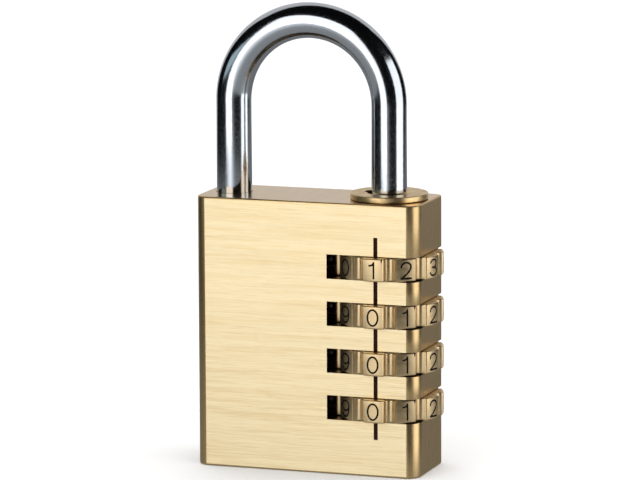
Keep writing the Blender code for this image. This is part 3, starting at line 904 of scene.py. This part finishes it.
def add_stroke(bm, path, closed, on_pad):
    """A stroke of the engraving tool as a solid, narrower at its floor. on_pad bends it round."""
    floor = stroke_row(bm, path, closed, on_pad, -ENGRAVING_DEPTH, STROKE_FLOOR_WIDTH / 2)
    mouth = stroke_row(bm, path, closed, on_pad, ENGRAVING_DEPTH, STROKE_WIDTH / 2)
    spans = [(i, (i + 1) % len(path)) for i in range(len(path) if closed else len(path) - 1)]
    for left, right, _ in (floor, mouth):
        for i, after in spans:
            bm.faces.new((left[i], left[after], right[after], right[i]))
    low_left, low_right, low_ends = floor
    high_left, high_right, high_ends = mouth
    for low, high in ((low_left, high_left), (low_right, high_right)):
        for i, after in spans:
            bm.faces.new((low[i], low[after], high[after], high[i]))
    for low, high in zip(low_ends, high_ends):
        bm.faces.new(low)
        bm.faces.new(high)
        for corners in zip(low, low[1:], high[1:], high):
            bm.faces.new(corners)


def stroke_mesh(name, path, closed, middle):
    """One stroke bent round the pad whose middle is at that angle."""
    half_x = (DIGIT_WIDTH - STROKE_WIDTH) / 2
    half_y = (DIGIT_HEIGHT - STROKE_WIDTH) / 2

    def on_pad(point, height):
        x, y = polar(DIAL_RADIUS + height, middle + point.x / DIAL_RADIUS)
        return x, y, point.y

    bm = bmesh.new()
    add_stroke(bm, [Vector((x * half_x, y * half_y)) for x, y in path], closed, on_pad)
    return finished(bm, name, [DIGIT_PAINT])


def nick_mesh(middle):
    """The small tooling nick in the top rim beside the digit 1."""
    angle = middle + NICK_ANGLE
    bm = bmesh.new()
    bmesh.ops.create_cone(
        bm, cap_ends=True, segments=16, radius1=NICK_TIP_RADIUS, radius2=NICK_RADIUS, depth=NICK_HEIGHT,
    )
    x, y = polar(DIAL_RADIUS - NICK_INSET, angle)
    bmesh.ops.translate(bm, verts=bm.verts, vec=(x, y, DIAL_HEIGHT / 2 - 1.5 * DIAL_EDGE_ROUNDING))
    return finished(bm, "nick", [DIGIT_PAINT])


def key_band_outline():
    """The dial's bore with one notch for each position."""
    points = []
    for position in range(POSITIONS):
        middle = math.tau * position / POSITIONS
        inner = math.asin(KEY_NOTCH_HALF_WIDTH / DIAL_BORE_RADIUS)
        outer = math.asin(KEY_NOTCH_HALF_WIDTH / KEY_NOTCH_RADIUS)
        points.append(polar(DIAL_BORE_RADIUS, middle - inner))
        points.append(polar(KEY_NOTCH_RADIUS, middle - outer))
        points.append(polar(KEY_NOTCH_RADIUS, middle + outer))
        points.append(polar(DIAL_BORE_RADIUS, middle + inner))
        for share in (0.75, 1.0, 1.25):
            points.append(polar(DIAL_BORE_RADIUS, middle + share * math.pi / POSITIONS))
    return points


def wheel_cutters():
    half = DIAL_HEIGHT / 2
    band_top = -half + KEY_BAND_HEIGHT
    recess = cylinder("recess", DIAL_RECESS_RADIUS, band_top, half + PAST, DIAL)
    yield place("cut_recess", recess)
    bm = bmesh.new()
    add_levels(bm, [[(x, y, z) for x, y in key_band_outline()] for z in (-half - PAST, band_top + PAST)])
    yield place("cut_keys", finished(bm, "keys", [DIAL]))
    for digit, strokes in DIGITS.items():
        middle = -math.pi / 2 + math.tau * digit / POSITIONS
        for index, (path, closed) in enumerate(strokes):
            name = f"cut_digit_{digit}_{index}"
            yield place(name, stroke_mesh(name, path, closed, middle))
        if digit == 1:
            yield place("cut_nick", nick_mesh(middle))


def make_dials():
    pattern = place("dial_pattern", wheel_mesh())
    cut(pattern, list(wheel_cutters()))
    wheel = pattern.data
    reshade(wheel)
    bpy.data.objects.remove(pattern)
    for number in NUMBERS:
        turned_wheel = wheel.copy()
        turned_wheel.transform(Matrix.Rotation(-math.tau * SHOWN_DIGIT[number] / POSITIONS, 4, "Z"))
        dial = place(f"number_wheel_{number}", turned_wheel, (AXIS_X, 0, DIAL_Z[number]))
        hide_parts(f"dial_{number}")
        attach(dial, f"dial_{number}")


# ---------------------------------------------------------------- plug, plungers and inner pieces


def make_plug():
    low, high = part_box("base_plug")
    radius = (high.y - low.y) / 2
    rim = 0.25 * MM
    chamfer = 0.4 * MM
    centre_mark = [(0, 0.35 * MM), (0.25 * MM, 0.32 * MM), (0.75 * MM, 0)]  # (radius, depth)
    profile = [(out, low.z + depth) for out, depth in centre_mark]
    profile += [
        (radius - rim, low.z),
        (radius, low.z + rim),
        (radius, high.z - chamfer),
        (radius - chamfer, high.z),
        (0, high.z),
    ]
    plug = place("base_plug_disc", turned("plug", profile, COLLAR), (AXIS_X, 0, 0))
    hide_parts("base_plug")
    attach(plug, "case")


def make_plungers():
    low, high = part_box("detent_plunger_1")
    radius, length = (high.y - low.y) / 2, high.x - low.x
    chamfer = 0.2 * MM
    profile = [
        (0, -length),
        (radius - chamfer, -length),
        (radius, -length + chamfer),
        *rounded_corner((0, -radius), radius, 0, 12),
    ]
    profile[-1] = (0, 0)
    pin = turned("detent_pin", profile, STEEL, SMALL_STEPS)
    for number in NUMBERS:
        node = f"detent_plunger_{number}"
        piece = place(f"detent_pin_{number}", pin, (high.x, 0, DIAL_Z[number]), (0, math.radians(90), 0))
        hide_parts(node)
        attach(piece, f"detent_{number}")


def finish_inner_nodes():
    """Materials for the CAD nodes that stay."""
    looks = {"thrust_washer": STEEL, "sleeve_return_spring": STEEL}
    for number in NUMBERS:
        looks[f"sleeve_{number}"] = INNER
        looks[f"detent_spring_{number}"] = STEEL
    for node, material in looks.items():
        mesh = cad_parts[node].data
        mesh.materials.clear()
        mesh.materials.append(material)


# ---------------------------------------------------------------- stage

VIEW_AZIMUTH = math.radians(19.1)
VIEW_ELEVATION = math.radians(9.42)
VIEW_ROLL = math.radians(-0.24)
VIEW_DISTANCE = 757.87 * MM
VIEW_TARGET = Vector((0.153 * MM, 0, 39.006 * MM))
LENS_MM = 249.1
SENSOR_MM = 36.0

# The grey table in the world, which the metal mirrors and the camera doesn't see.
TABLE_BRIGHTNESS = 0.27
TABLE_FRONT_GAIN = 0.08
TABLE_TILT = 0.055
TABLE_LEFT_RISE = 0.065
TABLE_RIGHT_RISE = 0.07
TABLE_EDGE = (-0.125, -0.150)  # the heights where the table starts and is full
GLOW_EDGE = (-0.06, -0.10)
GLOW_ELEVATION = math.radians(-8)
DARK_ROOM = 0.003
STUDIO_TINT = (0.96, 0.99, 1.0, 1)

FLOOR_RADIUS = 4.0
FLOOR_DROP = 0.05 * MM


def direction(azimuth, elevation):
    """A unit vector: azimuth 0 is toward -Y and grows toward +X, both in radians."""
    flat = math.cos(elevation)
    return Vector((math.sin(azimuth) * flat, -math.cos(azimuth) * flat, math.sin(elevation)))


def make_camera():
    data = bpy.data.cameras.new("camera")
    data.lens = LENS_MM
    data.sensor_width = SENSOR_MM
    data.clip_start = 0.05
    data.clip_end = 20.0
    camera = place("camera", data)
    back = direction(VIEW_AZIMUTH, VIEW_ELEVATION)
    camera.location = VIEW_TARGET + back * VIEW_DISTANCE
    camera.rotation_mode = "QUATERNION"
    aim = (-back).to_track_quat("-Z", "Y")
    camera.rotation_quaternion = aim @ Quaternion((0, 0, 1), VIEW_ROLL)
    bpy.context.scene.camera = camera


def softbox(name, at, span, distance, radiance, tint=(1, 1, 1)):
    """A rectangular light aimed at the middle of the lock, of even brightness, not seen itself.

    at is its azimuth and elevation, and span its width and height, all in degrees as seen from the lock.
    """
    azimuth, elevation = at
    width, height = span
    data = bpy.data.lights.new(name, "AREA")
    data.shape = "RECTANGLE"
    data.size = 2 * distance * math.tan(math.radians(width / 2))
    data.size_y = 2 * distance * math.tan(math.radians(height / 2))
    data.color = tint
    data.energy = radiance * math.pi * data.size * data.size_y
    lamp = place(name, data)
    out = direction(math.radians(azimuth), math.radians(elevation))
    lamp.location = VIEW_TARGET + out * distance
    lamp.rotation_mode = "QUATERNION"
    lamp.rotation_quaternion = (-out).to_track_quat("-Z", "Y")
    lamp.visible_camera = False
    return lamp


def table_glow(tree, toward, azimuth, strength, sharpness):
    """The brightness of the table below one soft box, as a lobe round its foot."""
    foot = direction(math.radians(azimuth), GLOW_ELEVATION)
    near = compute(tree, "MAXIMUM", dot(tree, toward, foot), 0.0)
    return compute(tree, "MULTIPLY", compute(tree, "POWER", near, sharpness), strength)


def make_world():
    """A dark studio over a grey table for reflections, and a white ground for the camera."""
    world = bpy.data.worlds.new("studio")
    world.use_nodes = True
    tree = world.node_tree
    tree.nodes.clear()
    toward = add(tree, "ShaderNodeTexCoord").outputs["Generated"]
    drop = dot(tree, toward, (0, -TABLE_TILT, 1))
    left = dot(tree, toward, (-TABLE_LEFT_RISE, 0, 0))
    right = dot(tree, toward, (TABLE_RIGHT_RISE, 0, 0))
    level = compute(tree, "ADD", drop, compute(tree, "MAXIMUM", left, right))
    front = dot(tree, toward, (0, -TABLE_FRONT_GAIN, 0))
    table = compute(tree, "ADD", front, TABLE_BRIGHTNESS)
    table = compute(tree, "MULTIPLY", table, remap(tree, level, *TABLE_EDGE))
    key = table_glow(tree, toward, azimuth=-8, strength=1.05, sharpness=20)
    side = table_glow(tree, toward, azimuth=90, strength=0.35, sharpness=16)
    glow = compute(tree, "ADD", key, side)
    glow = compute(tree, "MULTIPLY", glow, remap(tree, drop, *GLOW_EDGE))
    light = compute(tree, "ADD", compute(tree, "ADD", table, glow), DARK_ROOM)
    studio = add(tree, "ShaderNodeBackground", {"Color": STUDIO_TINT, "Strength": light})
    white = add(tree, "ShaderNodeBackground", {"Color": (1, 1, 1, 1), "Strength": 1.0})
    seen = add(tree, "ShaderNodeLightPath").outputs["Is Camera Ray"]
    both = add(tree, "ShaderNodeMixShader", {0: seen, 1: studio.outputs[0], 2: white.outputs[0]})
    add(tree, "ShaderNodeOutputWorld", {"Surface": both.outputs[0]})
    bpy.context.scene.world = world


def make_floor():
    """A pale floor that the metal doesn't mirror and that lets the boxes' lower edges shine past it."""
    made, _, shader = new_material("pale_floor", metallic=0.0)
    shader.inputs["Base Color"].default_value = (0.92, 0.92, 0.92, 1)
    shader.inputs["Roughness"].default_value = 0.9
    bm = bmesh.new()
    bmesh.ops.create_circle(bm, cap_ends=True, segments=ROUND_STEPS, radius=FLOOR_RADIUS)
    floor = place("floor", finished(bm, "floor", [made]), (0, 0, -FLOOR_DROP))
    floor.visible_glossy = False
    floor.visible_shadow = False


def make_stage():
    make_camera()
    make_world()
    make_floor()
    softbox("front_box", at=(-15.5, 14.0), span=(41, 46.4), distance=0.5, radiance=1.64)
    softbox("right_box", at=(92, 9), span=(52, 46), distance=0.9, radiance=1.5)
    softbox("left_strip", at=(-56, 9), span=(32, 12), distance=0.9, radiance=0.6, tint=(0.75, 0.95, 1.0))
    softbox("back_panel", at=(-158, 26), span=(88, 70), distance=1.2, radiance=0.62)
    ground_light = softbox("ground_light", at=(0, 90), span=(100, 100), distance=2.0, radiance=1.6)
    ground_light.visible_glossy = False
    bpy.context.scene.view_settings.view_transform = "Standard"


make_stage()
make_body()
make_shackle()
make_collar()
make_dials()
make_plug()
make_plungers()
finish_inner_nodes()
